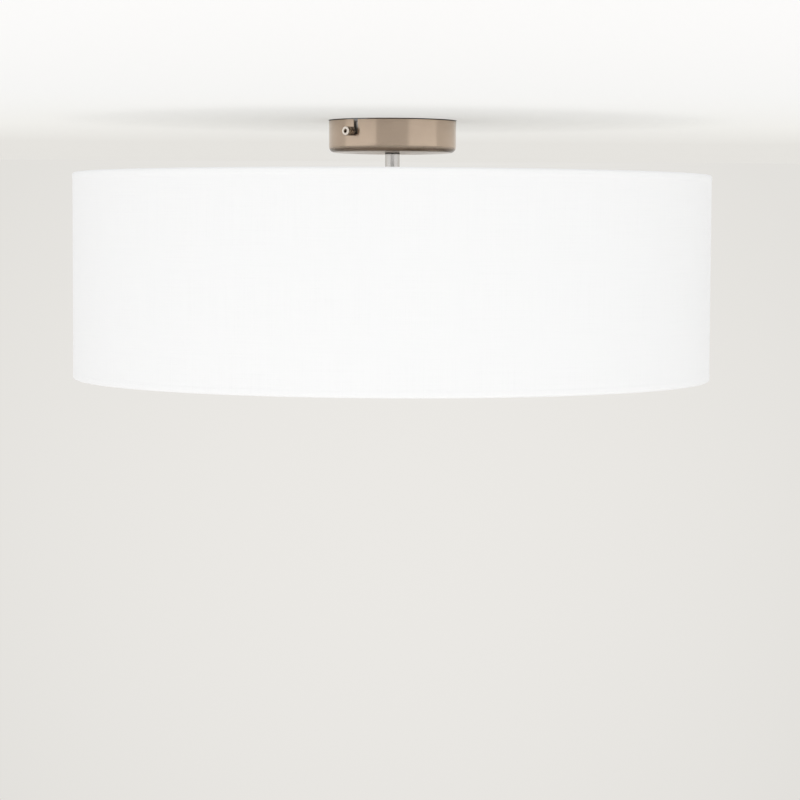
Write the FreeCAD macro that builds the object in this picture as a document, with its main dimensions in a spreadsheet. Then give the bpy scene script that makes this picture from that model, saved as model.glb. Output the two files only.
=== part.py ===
import FreeCAD, Part
import math
import os
import Sketcher

# A semi-flush ceiling light: canopy, short stem and wide drum shade over a pair of lamps.
# Frame: millimetres, origin at the middle of the bracket's back face on the ceiling, +Z up.
# The two side screws lie along Y. Everything hangs below z = 0.

document = FreeCAD.newDocument("ceiling_light")

# Sizes that can be set by themselves.
SIZES = (
    # strip bracket on the ceiling
    ("bracket_thickness", "1.5"),
    ("bracket_width", "22"),
    ("bracket_bend", "3"),
    ("ear_width", "15"),
    ("ear_depth", "18"),
    ("ear_clearance", "1.8"),
    ("fixing_spacing", "62"),
    ("fixing_slot_length", "20"),
    ("fixing_slot_width", "5.2"),
    ("cable_hole_radius", "5.5"),
    ("earth_screw_radius", "2"),
    ("earth_head_flats", "7"),
    ("earth_head_height", "2.2"),
    ("earth_tip_gap", "0.2"),
    ("earth_screw_offset", "13.5"),
    ("earth_stud_height", "8"),
    ("earth_stud_offset", "24"),
    # side screws
    ("screw_drop", "11.8"),
    ("screw_radius", "2"),
    ("screw_length", "10"),
    ("screw_head_radius", "4.2"),
    ("screw_head_length", "10"),
    ("screw_head_chamfer", "0.4"),
    ("screw_head_clearance", "0.3"),
    ("socket_flats", "2.5"),
    ("socket_depth", "4"),
    ("thread_clearance", "0.05"),
    # canopy
    ("ceiling_gap", "0.6"),
    ("canopy_radius", "60"),
    ("canopy_depth", "29.5"),
    ("canopy_wall", "1"),
    ("canopy_corner", "5.5"),
    ("slot_width", "4.5"),
    ("slot_end_clearance", "0.2"),
    ("bayonet_angle", "3.6"),
    # stem
    ("tube_radius", "5"),
    ("tube_bore_radius", "3.9"),
    ("tube_stand", "8"),
    ("tube_tail", "1.5"),
    ("lead_tail", "7"),
    ("stem_nut_flats", "14"),
    ("stem_nut_height", "3"),
    ("hole_clearance", "0.15"),
    ("collar_height", "1.2"),
    ("sleeve_radius", "7"),
    ("sleeve_wall", "1"),
    # terminal block and lead
    ("terminal_offset", "20"),
    ("terminal_width", "20"),
    ("terminal_pole", "9"),
    ("terminal_groove", "2"),
    ("terminal_groove_depth", "3"),
    ("terminal_port", "3.4"),
    ("terminal_screw_radius", "1.9"),
    ("terminal_screw_height", "0.8"),
    ("terminal_screw_inset", "5"),
    ("lead_width", "5"),
    ("lead_thickness", "3"),
    ("lead_inset", "4"),
    ("connector_width", "16"),
    ("connector_height", "10"),
    # shade
    ("shade_drop", "50.7"),
    ("shade_radius", "300"),
    ("shade_height", "191.9"),
    ("shade_wall", "1"),
    ("hem_width", "5.8"),
    ("hub_drop", "18"),
    ("hub_radius", "20"),
    ("hub_thickness", "2"),
    ("spoke_width", "6"),
    ("spoke_thickness", "3"),
    ("spoke_lap", "8"),
    ("spoke_sink", "0.5"),
    ("spoke_end_gap", "0.05"),
    # lamp housing
    ("housing_length", "76"),
    ("housing_width", "50"),
    ("housing_height", "34"),
    ("housing_wall", "1.2"),
    ("lid_skirt", "5"),
    ("lid_clearance", "0.2"),
    ("arm_tilt", "20"),
    ("arm_length", "14"),
    # lamp holders
    ("holder_neck_flats", "22"),
    ("holder_neck_length", "8"),
    ("holder_bore_depth", "15"),
    ("holder_radius", "19"),
    ("holder_floor", "24"),
    ("holder_length", "54"),
    ("core_width", "18"),
    ("core_depth", "6"),
    # lamps
    ("lamp_screw_radius", "13.1"),
    ("lamp_screw_length", "27"),
    ("lamp_screw_clearance", "0.5"),
    ("lamp_seat_gap", "0.3"),
    ("lamp_radius", "15"),
    ("lamp_length", "115"),
    # diffuser
    ("rod_radius", "3"),
    ("rod_nut_flats", "10"),
    ("rod_nut_height", "5"),
    ("rod_stand", "2"),
    ("rod_hole_clearance", "0.3"),
    ("disc_clearance", "1.8"),
    ("disc_thickness", "3"),
    ("disc_lift", "8"),
    ("finial_radius", "9"),
    ("finial_height", "14"),
    ("finial_collar_radius", "6.5"),
    ("finial_collar_height", "3"),
    ("finial_engagement", "9"),
    ("finial_bore_spare", "1"),
)

# Places and sizes that follow from them.
PLACES = (
    ("canopy_bottom", "=-(sizes.ceiling_gap + sizes.canopy_depth)"),
    ("canopy_floor", "=canopy_bottom + sizes.canopy_wall"),
    ("canopy_bore", "=sizes.canopy_radius - sizes.canopy_wall"),
    ("corner_radius", "=sizes.canopy_radius - sizes.canopy_corner"),
    ("corner_level", "=canopy_bottom + sizes.canopy_corner"),
    ("corner_inset", "=(2 - sqrt(2)) * sizes.canopy_corner"),
    ("ear_face", "=canopy_bore - sizes.ear_clearance"),
    ("ear_back", "=ear_face - sizes.bracket_thickness"),
    ("screw_seat", "=sizes.canopy_radius + sizes.screw_head_clearance"),
    ("slot_turn", "=sizes.canopy_radius * sin(sizes.bayonet_angle)"),
    ("tube_hole", "=sizes.tube_radius + sizes.hole_clearance"),
    ("tube_top", "=canopy_floor + sizes.tube_stand"),
    ("collar_bottom", "=canopy_bottom - sizes.collar_height"),
    ("terminal_half", "=1.5 * sizes.terminal_pole + sizes.terminal_groove"),
    ("terminal_step", "=sizes.terminal_pole + sizes.terminal_groove"),
    ("lead_start", "=sizes.terminal_offset + sizes.lead_inset"),
    ("shade_top", "=-sizes.shade_drop"),
    ("shade_bottom", "=shade_top - sizes.shade_height"),
    ("hem_radius", "=sizes.shade_radius - sizes.hem_width"),
    ("hub_top", "=shade_top - sizes.hub_drop"),
    ("lid_top", "=hub_top - sizes.hub_thickness"),
    ("spoke_start", "=sizes.hub_radius - sizes.spoke_lap"),
    ("spoke_low", "=hub_top - sizes.spoke_sink"),
    ("spoke_high", "=shade_top - sizes.hem_width / 2 - sizes.spoke_thickness / 2"),
    ("housing_top", "=lid_top - sizes.housing_wall"),
    ("housing_bottom", "=housing_top - sizes.housing_height"),
    ("housing_half_top", "=sizes.housing_length / 2"),
    ("housing_half_bottom", "=housing_half_top - sizes.housing_height * tan(sizes.arm_tilt)"),
    ("housing_wall_across", "=sizes.housing_wall / cos(sizes.arm_tilt)"),
    ("tube_bottom", "=housing_top - sizes.stem_nut_height - sizes.tube_tail"),
    ("lead_bottom", "=tube_bottom - sizes.lead_tail"),
    ("arm_reach", "=(housing_half_top + housing_half_bottom) / 2"),
    ("arm_level", "=housing_top - sizes.housing_height / 2"),
    ("lamp_seat", "=sizes.holder_floor + sizes.core_depth + sizes.lamp_seat_gap"),
    ("disc_bottom", "=shade_bottom + sizes.disc_lift"),
    ("disc_top", "=disc_bottom + sizes.disc_thickness"),
    ("disc_radius", "=hem_radius - sizes.disc_clearance"),
    ("rod_hole", "=sizes.rod_radius + sizes.rod_hole_clearance"),
    ("rod_bottom", "=disc_bottom - sizes.finial_engagement"),
    ("rod_top", "=housing_bottom + sizes.housing_wall + sizes.rod_nut_height + sizes.rod_stand"),
)

LAMPS = 2
SPOKES = 3
POLES = (-1, 0, 1)
FULL_TURN = 360.0


def fill_sheet(name, rows):
    """A sheet with one alias to a row: its name in column A, its value in column B."""
    sheet = document.addObject("Spreadsheet::Sheet", name)
    for row, (alias, text) in enumerate(rows, start=1):
        sheet.set(f"A{row}", alias)
        sheet.set(f"B{row}", text)
        sheet.setAlias(f"B{row}", alias)
    document.recompute()
    return sheet


sizes = fill_sheet("sizes", SIZES)
places = fill_sheet("places", PLACES)


def number(expression):
    """The value of an expression on the two sheets."""
    return float(sizes.evalExpression(expression))


def plane(body, role):
    """One of a body's own origin planes."""
    return next(feature for feature in body.Origin.OriginFeatures if feature.Role == role)


def new_body(name):
    """An empty body."""
    return document.addObject("PartDesign::Body", name)


def new_sketch(body, name, role, lift=None):
    """A sketch on an origin plane of the body, raised by an expression where one is given."""
    sketch = body.newObject("Sketcher::SketchObject", name)
    sketch.AttachmentSupport = [(plane(body, role), "")]
    sketch.MapMode = "FlatFace"
    if lift:
        sketch.setExpression("AttachmentOffset.Base.z", lift)
    return sketch


def hold(sketch, kind, element, point, expression):
    """Keep one coordinate of a point at an expression."""
    constraint = Sketcher.Constraint(kind, -1, 1, element, point, number(expression))
    index = sketch.addConstraint(constraint)
    sketch.setExpression(f"Constraints[{index}]", expression)


def polar_angle(centre, point):
    """Direction of a point as seen from a centre, in radians."""
    return math.atan2(point.y - centre.y, point.x - centre.x)


def draw(sketch, corners):
    """Draw a closed outline.

    A corner is (x, y), or (x, y, centre x, centre y, turn) where an arc leaves it.
    """
    first = sketch.GeometryCount
    spots = [FreeCAD.Vector(number(c[0]), number(c[1]), 0) for c in corners]
    ends = []
    for index, corner in enumerate(corners):
        start = spots[index]
        end = spots[(index + 1) % len(corners)]
        if len(corner) == 2:
            sketch.addGeometry(Part.LineSegment(start, end), False)
            ends.append((1, 2))
            continue
        centre = FreeCAD.Vector(number(corner[2]), number(corner[3]), 0)
        circle = Part.Circle(centre, FreeCAD.Vector(0, 0, 1), (start - centre).Length)
        angles = [polar_angle(centre, start), polar_angle(centre, end)]
        if corner[4] == "cw":
            angles.reverse()
        sketch.addGeometry(Part.ArcOfCircle(circle, *angles), False)
        ends.append((2, 1) if corner[4] == "cw" else (1, 2))
    for index, corner in enumerate(corners):
        element = first + index
        after = (index + 1) % len(corners)
        sketch.addConstraint(
            Sketcher.Constraint("Coincident", element, ends[index][1], first + after, ends[after][0])
        )
        hold(sketch, "DistanceX", element, ends[index][0], corner[0])
        hold(sketch, "DistanceY", element, ends[index][0], corner[1])
        if len(corner) == 5:
            chord = spots[after] - spots[index]
            if abs(chord.x) > abs(chord.y):
                hold(sketch, "DistanceY", element, 3, corner[3])
            else:
                hold(sketch, "DistanceX", element, 3, corner[2])


def draw_circle(sketch, centre_x, centre_y, radius):
    """Draw a circle held at its centre and radius."""
    centre = FreeCAD.Vector(number(centre_x), number(centre_y), 0)
    circle = Part.Circle(centre, FreeCAD.Vector(0, 0, 1), number(radius))
    element = sketch.addGeometry(circle, False)
    index = sketch.addConstraint(Sketcher.Constraint("Radius", element, number(radius)))
    sketch.setExpression(f"Constraints[{index}]", radius)
    hold(sketch, "DistanceX", element, 3, centre_x)
    hold(sketch, "DistanceY", element, 3, centre_y)


def rectangle(low_x, low_y, high_x, high_y):
    """Corners of a rectangle."""
    return [(low_x, low_y), (high_x, low_y), (high_x, high_y), (low_x, high_y)]


def turned(name, corners):
    """A piece turned about Z from an outline of radius and height."""
    body = new_body(name)
    sketch = new_sketch(body, f"{name}_outline", "XZ_Plane")
    draw(sketch, corners)
    feature = body.newObject("PartDesign::Revolution", f"{name}_turning")
    feature.Profile = sketch
    feature.ReferenceAxis = (sketch, ["V_Axis"])
    feature.Angle = FULL_TURN
    return body


def pad(body, sketch, length, both_ways=False):
    """Thicken a sketch."""
    feature = body.newObject("PartDesign::Pad", f"{sketch.Name}_pad")
    feature.Profile = sketch
    feature.setExpression("Length", length)
    if both_ways:
        feature.SideType = "Symmetric"
    return feature


def cut_through(body, sketch):
    """Cut a sketch right through the body, both ways."""
    feature = body.newObject("PartDesign::Pocket", f"{sketch.Name}_cut")
    feature.Profile = sketch
    feature.SideType = "Symmetric"
    feature.Type = "ThroughAll"
    return feature


def solid_cylinder(name, radius, height):
    """A plain cylinder standing on its own origin."""
    shape = document.addObject("Part::Cylinder", name)
    shape.setExpression("Radius", radius)
    shape.setExpression("Height", height)
    return shape


def prism(name, sides, radius, height):
    """A bar with equal sides standing on its own origin."""
    shape = document.addObject("Part::Prism", name)
    shape.Polygon = sides
    shape.setExpression("Circumradius", radius)
    shape.setExpression("Height", height)
    return shape


def hexagon(name, flats, height):
    """A hexagonal bar standing on its own origin."""
    return prism(name, 6, f"{flats} / 2 / cos(30)", height)


def minus(name, base, tools):
    """A piece less one or more tools."""
    tool = tools[0]
    if len(tools) > 1:
        tool = document.addObject("Part::MultiFuse", f"{name}_tools")
        tool.Shapes = tools
    result = document.addObject("Part::Cut", name)
    result.Base = base
    result.Tool = tool
    return result


def joined(name, shapes):
    """One solid from several."""
    result = document.addObject("Part::MultiFuse", name)
    result.Shapes = shapes
    return result


def group(name, pieces):
    """Separate pieces that share one name."""
    result = document.addObject("Part::Compound", name)
    result.Links = pieces
    return result


def at(x=0.0, y=0.0, z=0.0, rotation=None):
    """A placement from a position and an optional rotation."""
    return FreeCAD.Placement(FreeCAD.Vector(x, y, z), rotation or FreeCAD.Rotation())


TOWARDS_FRONT = FreeCAD.Rotation(FreeCAD.Vector(1, 0, 0), 90)
TOWARDS_BACK = FreeCAD.Rotation(FreeCAD.Vector(1, 0, 0), -90)


def hex_nut(name, flats, height, bore):
    """A hexagonal nut standing on its own origin."""
    return minus(name, hexagon(f"{name}_bar", flats, height), [solid_cylinder(f"{name}_bore", bore, height)])


# ---- strip bracket and side screws ----


def slot_corners(middle):
    """Outline of one fixing slot along Y, centred at an expression."""
    half = "sizes.fixing_slot_width / 2"
    low = f"{middle} - (sizes.fixing_slot_length - sizes.fixing_slot_width) / 2"
    high = f"{middle} + (sizes.fixing_slot_length - sizes.fixing_slot_width) / 2"
    return [
        (half, low),
        (half, high, "0", high, "ccw"),
        (f"-{half}", high),
        (f"-{half}", low, "0", low, "ccw"),
    ]


def bracket_profile():
    """Side outline of the strip: flat back, two rounded bends, two ears."""
    ear = "-sizes.ear_depth"
    bend = "-sizes.bracket_bend"
    under = "-sizes.bracket_thickness"
    right = "places.ear_face - sizes.bracket_bend"
    left = f"-({right})"
    return [
        ("-places.ear_face", ear),
        ("-places.ear_face", bend, left, bend, "cw"),
        (left, "0"),
        (right, "0", right, bend, "cw"),
        ("places.ear_face", bend),
        ("places.ear_face", ear),
        ("places.ear_back", ear),
        ("places.ear_back", bend, right, bend, "ccw"),
        (right, under),
        (left, under, left, bend, "ccw"),
        ("-places.ear_back", bend),
        ("-places.ear_back", ear),
    ]


def make_bracket():
    """Steel strip with two narrower tapped ears, two slots and holes for the cable and the earth screw."""
    body = new_body("bracket")
    side = new_sketch(body, "bracket_side", "YZ_Plane")
    draw(side, bracket_profile())
    pad(body, side, "sizes.bracket_width", both_ways=True)
    front = new_sketch(body, "bracket_front", "XZ_Plane")
    inner = "sizes.ear_width / 2"
    outer = "sizes.bracket_width"
    foot = "-2 * sizes.ear_depth"
    draw(front, rectangle(inner, foot, outer, "-sizes.bracket_bend"))
    draw(front, rectangle(f"-{outer}", foot, f"-{inner}", "-sizes.bracket_bend"))
    cut_through(body, front)
    ears = new_sketch(body, "bracket_ear_holes", "XZ_Plane")
    draw_circle(ears, "0", "-sizes.screw_drop", "sizes.screw_radius + sizes.thread_clearance")
    cut_through(body, ears)
    top = new_sketch(body, "bracket_top", "XY_Plane")
    draw(top, slot_corners("sizes.fixing_spacing / 2"))
    draw(top, slot_corners("-sizes.fixing_spacing / 2"))
    draw_circle(top, "0", "0", "sizes.cable_hole_radius")
    draw_circle(top, "0", "sizes.earth_screw_offset", "sizes.earth_screw_radius + sizes.hole_clearance")
    cut_through(body, top)
    return body


def make_side_screw(name, rotation):
    """A long cylinder head on a short shank, with a hexagonal socket."""
    head_end = "places.screw_seat + sizes.screw_head_length"
    tip = "places.screw_seat - sizes.screw_length"
    body = turned(
        f"{name}_body",
        [
            ("0", tip),
            ("sizes.screw_radius", tip),
            ("sizes.screw_radius", "places.screw_seat"),
            ("sizes.screw_head_radius", "places.screw_seat"),
            ("sizes.screw_head_radius", f"{head_end} - sizes.screw_head_chamfer"),
            ("sizes.screw_head_radius - sizes.screw_head_chamfer", head_end),
            ("0", head_end),
        ],
    )
    socket = hexagon(f"{name}_socket", "sizes.socket_flats", "sizes.socket_depth")
    socket.setExpression(".Placement.Base.z", f"{head_end} - sizes.socket_depth")
    screw = minus(name, body, [socket])
    screw.Placement = at(z=-number("sizes.screw_drop"), rotation=rotation)
    return screw


def make_bracket_earth_screw():
    """Earth screw driven up into the strip from below, with a hexagonal head."""
    head = hexagon("strip_earth_head", "sizes.earth_head_flats", "sizes.earth_head_height")
    head.setExpression(".Placement.Base.z", "-(sizes.bracket_thickness + sizes.earth_head_height)")
    shank = solid_cylinder(
        "strip_earth_shank", "sizes.earth_screw_radius", "sizes.bracket_thickness - sizes.earth_tip_gap"
    )
    shank.setExpression(".Placement.Base.z", "-sizes.bracket_thickness")
    screw = joined("strip_earth_screw", [head, shank])
    screw.setExpression(".Placement.Base.y", "sizes.earth_screw_offset")
    return screw


# ---- canopy and stem ----


def rounded_corner(radius, level, curve):
    """Corners of a quarter round in three flat steps, from the wall down to the bottom."""
    steps = (0, 30, 60, 90)
    return [(f"{radius} + {curve} * cos({angle})", f"{level} - {curve} * sin({angle})") for angle in steps]


def bayonet_outline():
    """Outline of the L-shaped slot: up to the rim on the right, a seat for the screw at the left."""
    half = "sizes.slot_width / 2"
    seat = f"-({half} + sizes.slot_end_clearance)"
    return [
        (f"places.slot_turn - {half}", "sizes.canopy_wall"),
        (f"places.slot_turn - {half}", f"{half} - sizes.screw_drop"),
        (seat, f"{half} - sizes.screw_drop"),
        (seat, f"-{half} - sizes.screw_drop"),
        (f"places.slot_turn + {half}", f"-{half} - sizes.screw_drop"),
        (f"places.slot_turn + {half}", "sizes.canopy_wall"),
    ]


def make_canopy():
    """Spun cup with a rounded lower corner and two L-shaped slots, open at the rim."""
    rim = "-sizes.ceiling_gap"
    corner = rounded_corner("places.corner_radius", "places.corner_level", "sizes.canopy_corner")
    body = turned(
        "canopy",
        [
            ("places.canopy_bore", rim),
            ("sizes.canopy_radius", rim),
            *corner,
            ("places.tube_hole", "places.canopy_bottom"),
            ("places.tube_hole", "places.canopy_floor"),
            ("places.canopy_bore - places.corner_inset", "places.canopy_floor"),
            ("places.canopy_bore", "places.canopy_floor + places.corner_inset"),
        ],
    )
    slot = new_sketch(body, "bayonet_slot", "XZ_Plane")
    draw(slot, bayonet_outline())
    cut = body.newObject("PartDesign::Pocket", "bayonet_slot_cut")
    cut.Profile = slot
    cut.Reversed = True
    cut.setExpression("Length", "2 * sizes.canopy_radius")
    pattern = body.newObject("PartDesign::PolarPattern", "bayonet_slots")
    pattern.Originals = [cut]
    pattern.Axis = (plane(body, "Z_Axis"), [""])
    pattern.Angle = FULL_TURN
    pattern.Occurrences = 2
    body.Tip = pattern
    return body


def make_tube(name, inner, outer, low, high):
    """A straight round tube on the middle line."""
    return turned(name, [(inner, low), (outer, low), (outer, high), (inner, high)])


def make_stem_nuts():
    """The two thin nuts that clamp canopy, sleeve, shade and lamp housing on the threaded tube."""
    levels = {"upper": "places.canopy_floor", "lower": "places.housing_top - sizes.stem_nut_height"}
    nuts = []
    for name, level in levels.items():
        nut = hex_nut(
            f"stem_nut_{name}",
            "sizes.stem_nut_flats",
            "sizes.stem_nut_height",
            "sizes.tube_radius + sizes.thread_clearance",
        )
        nut.setExpression(".Placement.Base.z", level)
        nuts.append(nut)
    return group("stem_nut_pair", nuts)


def make_terminal_block():
    """Three-pole block on the canopy floor, with grooves between the poles and a port along each."""
    body = new_body("terminals")
    near = "sizes.terminal_offset"
    far = "sizes.terminal_offset + sizes.terminal_width"
    depth = f"{far} - sizes.terminal_groove_depth"
    corners = [(near, "-places.terminal_half"), (far, "-places.terminal_half")]
    for side in ("-", ""):
        low = f"{side}places.terminal_step / 2 - sizes.terminal_groove / 2"
        high = f"{side}places.terminal_step / 2 + sizes.terminal_groove / 2"
        corners += [(far, low), (depth, low), (depth, high), (far, high)]
    corners += [(far, "places.terminal_half"), (near, "places.terminal_half")]
    plan = new_sketch(body, "terminals_plan", "XY_Plane", "places.canopy_floor")
    draw(plan, corners)
    pad(body, plan, "places.tube_top - places.canopy_floor")
    ports = new_sketch(body, "terminals_ports", "YZ_Plane")
    half = "sizes.terminal_port / 2"
    level = "(places.tube_top + places.canopy_floor) / 2"
    for pole in POLES:
        middle = f"{pole} * places.terminal_step"
        left = f"{middle} - {half}"
        right = f"{middle} + {half}"
        draw(ports, rectangle(left, f"{level} - {half}", right, f"{level} + {half}"))
    cut_through(body, ports)
    return body


def make_terminal_screws():
    """Two small screw heads to a pole, standing on the block."""
    rows = {
        "near": "sizes.terminal_offset + sizes.terminal_width / 2",
        "far": "sizes.terminal_offset + sizes.terminal_width - sizes.terminal_screw_inset",
    }
    screws = []
    for pole in POLES:
        for row, place in rows.items():
            screw = prism(
                f"terminal_screw_{row}_{pole + 2}",
                8,
                "sizes.terminal_screw_radius",
                "sizes.terminal_screw_height",
            )
            screw.setExpression(".Placement.Base.x", place)
            screw.setExpression(".Placement.Base.y", f"{pole} * places.terminal_step")
            screw.setExpression(".Placement.Base.z", "places.tube_top")
            screws.append(screw)
    return group("terminal_screw_set", screws)


def make_lead():
    """Flat lead from the terminal block, over in a half circle and down the threaded tube."""
    body = new_body("lead")
    arch = new_sketch(body, "lead_arch", "XY_Plane", "places.tube_top")
    arch.setExpression("AttachmentOffset.Base.x", "places.lead_start / 2")
    half_width = "sizes.lead_width / 2"
    half_thickness = "sizes.lead_thickness / 2"
    draw(
        arch,
        rectangle(
            f"places.lead_start / 2 - {half_thickness}",
            f"-{half_width}",
            f"places.lead_start / 2 + {half_thickness}",
            half_width,
        ),
    )
    bend = body.newObject("PartDesign::Revolution", "lead_bend")
    bend.Profile = arch
    bend.ReferenceAxis = (arch, ["V_Axis"])
    bend.Angle = FULL_TURN / 2
    bend.Reversed = True
    drop = new_sketch(body, "lead_drop", "XY_Plane", "places.lead_bottom")
    draw(drop, rectangle(f"-{half_thickness}", f"-{half_width}", half_thickness, half_width))
    pad(body, drop, "places.tube_top - places.lead_bottom")
    return body


def make_connector():
    """Connector block at the end of the lead, inside the lamp housing."""
    body = new_body("connector")
    plan = new_sketch(body, "connector_plan", "XY_Plane", "places.lead_bottom - sizes.connector_height")
    half = "sizes.connector_width / 2"
    draw(plan, rectangle(f"-{half}", f"-{half}", half, half))
    pad(body, plan, "sizes.connector_height")
    return body


def make_earth_stud():
    """Earth stud on the canopy floor, with a hexagonal foot."""
    foot = hexagon("canopy_earth_foot", "sizes.earth_head_flats", "sizes.earth_head_height")
    stud = solid_cylinder("canopy_earth_shank", "sizes.earth_screw_radius", "sizes.earth_stud_height")
    result = joined("canopy_earth", [foot, stud])
    result.setExpression(".Placement.Base.y", "sizes.earth_stud_offset")
    result.setExpression(".Placement.Base.z", "places.canopy_floor")
    return result


# ---- shade ----


def turn_about_axis(index, count, offset=0.0):
    """Rotation about Z to one of several evenly spaced directions."""
    return FreeCAD.Rotation(FreeCAD.Vector(0, 0, 1), offset + index * FULL_TURN / count)


def make_spider():
    """Round hub with three flat spokes that slope up to the top hem of the shade."""
    hub = make_tube("hub", "places.tube_hole", "sizes.hub_radius", "places.lid_top", "places.hub_top")
    run = number("places.hem_radius - sizes.spoke_end_gap - places.spoke_start")
    rise = number("places.spoke_high - places.spoke_low")
    slope = FreeCAD.Rotation(FreeCAD.Vector(0, 1, 0), -math.degrees(math.atan2(rise, run)))
    half_width = number("sizes.spoke_width") / 2
    foot = FreeCAD.Vector(number("places.spoke_start"), 0, number("places.spoke_low"))
    spokes = []
    for index in range(SPOKES):
        spoke = document.addObject("Part::Box", f"spoke_{index + 1}")
        spoke.Length = math.hypot(run, rise)
        spoke.setExpression("Width", "sizes.spoke_width")
        spoke.setExpression("Height", "sizes.spoke_thickness")
        turn = turn_about_axis(index, SPOKES, offset=FULL_TURN / 4)
        lying = turn.multiply(slope)
        aside = lying.multVec(FreeCAD.Vector(0, -half_width, 0))
        spoke.Placement = FreeCAD.Placement(turn.multVec(foot) + aside, lying)
        spokes.append(spoke)
    return joined("spider_weldment", [hub] + spokes)


def make_drum():
    """Drum wall with a thicker hem round each edge, where the fabric is rolled over its wire."""
    inside = "sizes.shade_radius - sizes.shade_wall"
    upper_hem = "places.shade_top - sizes.hem_width"
    lower_hem = "places.shade_bottom + sizes.hem_width"
    return turned(
        "drum",
        [
            ("places.hem_radius", "places.shade_bottom"),
            ("sizes.shade_radius", "places.shade_bottom"),
            ("sizes.shade_radius", "places.shade_top"),
            ("places.hem_radius", "places.shade_top"),
            ("places.hem_radius", upper_hem),
            (inside, upper_hem),
            (inside, lower_hem),
            ("places.hem_radius", lower_hem),
        ],
    )


# ---- lamp housing and lamps ----


def arm_placement(index, along=0.0):
    """A frame on a sloping side of the housing, with its own Z along the lamp, moved along by a distance."""
    turn = turn_about_axis(index, LAMPS)
    lean = FreeCAD.Rotation(FreeCAD.Vector(0, 1, 0), 90 + number("sizes.arm_tilt"))
    rotation = turn.multiply(lean)
    foot = turn.multVec(FreeCAD.Vector(number("places.arm_reach"), 0, number("places.arm_level")))
    return FreeCAD.Placement(foot + rotation.multVec(FreeCAD.Vector(0, 0, along)), rotation)


def on_arms(name, make, along=0.0):
    """One copy of a piece on each arm."""
    pieces = []
    for index in range(LAMPS):
        piece = make(f"{name}_{index + 1}")
        piece.Placement = arm_placement(index, along)
        pieces.append(piece)
    return pieces


def housing_half(inset):
    """Half lengths of the housing at its top and foot, drawn in by an inset."""
    return f"places.housing_half_top - {inset}", f"places.housing_half_bottom - {inset}"


def make_housing_shell():
    """Folded box, open at the top, with two sides that slope towards the lamps."""
    body = new_body("housing_shell")
    outline = new_sketch(body, "housing_outline", "XZ_Plane")
    top, foot = housing_half("0")
    draw(
        outline,
        [
            (f"-({foot})", "places.housing_bottom"),
            (foot, "places.housing_bottom"),
            (top, "places.housing_top"),
            (f"-({top})", "places.housing_top"),
        ],
    )
    pad(body, outline, "sizes.housing_width", both_ways=True)
    hollow = new_sketch(body, "housing_hollow", "XZ_Plane")
    top, foot = housing_half("places.housing_wall_across")
    floor_inset = "sizes.housing_wall * tan(sizes.arm_tilt)"
    floor = "places.housing_bottom + sizes.housing_wall"
    draw(
        hollow,
        [
            (f"-({foot} + {floor_inset})", floor),
            (f"{foot} + {floor_inset}", floor),
            (top, "places.housing_top"),
            (f"-({top})", "places.housing_top"),
        ],
    )
    pocket = body.newObject("PartDesign::Pocket", "housing_hollow_cut")
    pocket.Profile = hollow
    pocket.SideType = "Symmetric"
    pocket.setExpression("Length", "sizes.housing_width - 2 * sizes.housing_wall")
    hole = new_sketch(body, "housing_rod_hole", "XY_Plane", "places.housing_bottom")
    draw_circle(hole, "0", "0", "sizes.rod_radius + sizes.hole_clearance")
    cut = body.newObject("PartDesign::Pocket", "housing_rod_hole_cut")
    cut.Profile = hole
    cut.Reversed = True
    cut.setExpression("Length", "2 * sizes.housing_wall")
    return body


def make_housing():
    """The housing with its two hollow arms welded to the sloping sides."""
    half_wall = number("sizes.housing_wall") / 2
    length = "sizes.arm_length + sizes.housing_wall"
    radius = "sizes.tube_radius"
    bore = "sizes.tube_bore_radius"
    rods = on_arms("arm", lambda name: solid_cylinder(name, radius, length), -half_wall)
    bores = on_arms("arm_bore", lambda name: solid_cylinder(name, bore, length), -3 * half_wall)
    return minus("housing", joined("housing_and_arms", [make_housing_shell()] + rods), bores)


def make_lid():
    """Lid over the housing, with a skirt outside its walls."""
    body = new_body("lid")
    long_side = "places.housing_half_top + sizes.lid_clearance"
    short_side = "sizes.housing_width / 2 + sizes.lid_clearance"
    wall = "sizes.housing_wall"
    plan = new_sketch(body, "lid_plan", "XY_Plane", "places.lid_top - sizes.lid_skirt")
    draw(
        plan,
        rectangle(
            f"-({long_side} + {wall})",
            f"-({short_side} + {wall})",
            f"{long_side} + {wall}",
            f"{short_side} + {wall}",
        ),
    )
    pad(body, plan, "sizes.lid_skirt")
    hollow = new_sketch(body, "lid_hollow", "XY_Plane", "places.lid_top - sizes.lid_skirt")
    draw(hollow, rectangle(f"-({long_side})", f"-({short_side})", long_side, short_side))
    cut = body.newObject("PartDesign::Pocket", "lid_hollow_cut")
    cut.Profile = hollow
    cut.Reversed = True
    cut.setExpression("Length", f"sizes.lid_skirt - {wall}")
    hole = new_sketch(body, "lid_tube_hole", "XY_Plane")
    draw_circle(hole, "0", "0", "places.tube_hole")
    cut_through(body, hole)
    return body


def make_holder(name):
    """Lamp holder: hexagonal neck bored for the arm, round body bored for the lamp's screw."""
    neck = hexagon(f"{name}_neck", "sizes.holder_neck_flats", "sizes.holder_neck_length")
    body = solid_cylinder(
        f"{name}_body", "sizes.holder_radius", "sizes.holder_length - sizes.holder_neck_length"
    )
    body.setExpression(".Placement.Base.z", "sizes.holder_neck_length")
    arm_bore = solid_cylinder(f"{name}_arm_bore", "places.tube_hole", "sizes.holder_bore_depth")
    lamp_bore = solid_cylinder(
        f"{name}_lamp_bore",
        "sizes.lamp_screw_radius + sizes.lamp_screw_clearance",
        "sizes.holder_length - sizes.holder_floor",
    )
    lamp_bore.setExpression(".Placement.Base.z", "sizes.holder_floor")
    return minus(name, joined(f"{name}_outside", [neck, body]), [arm_bore, lamp_bore])


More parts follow.
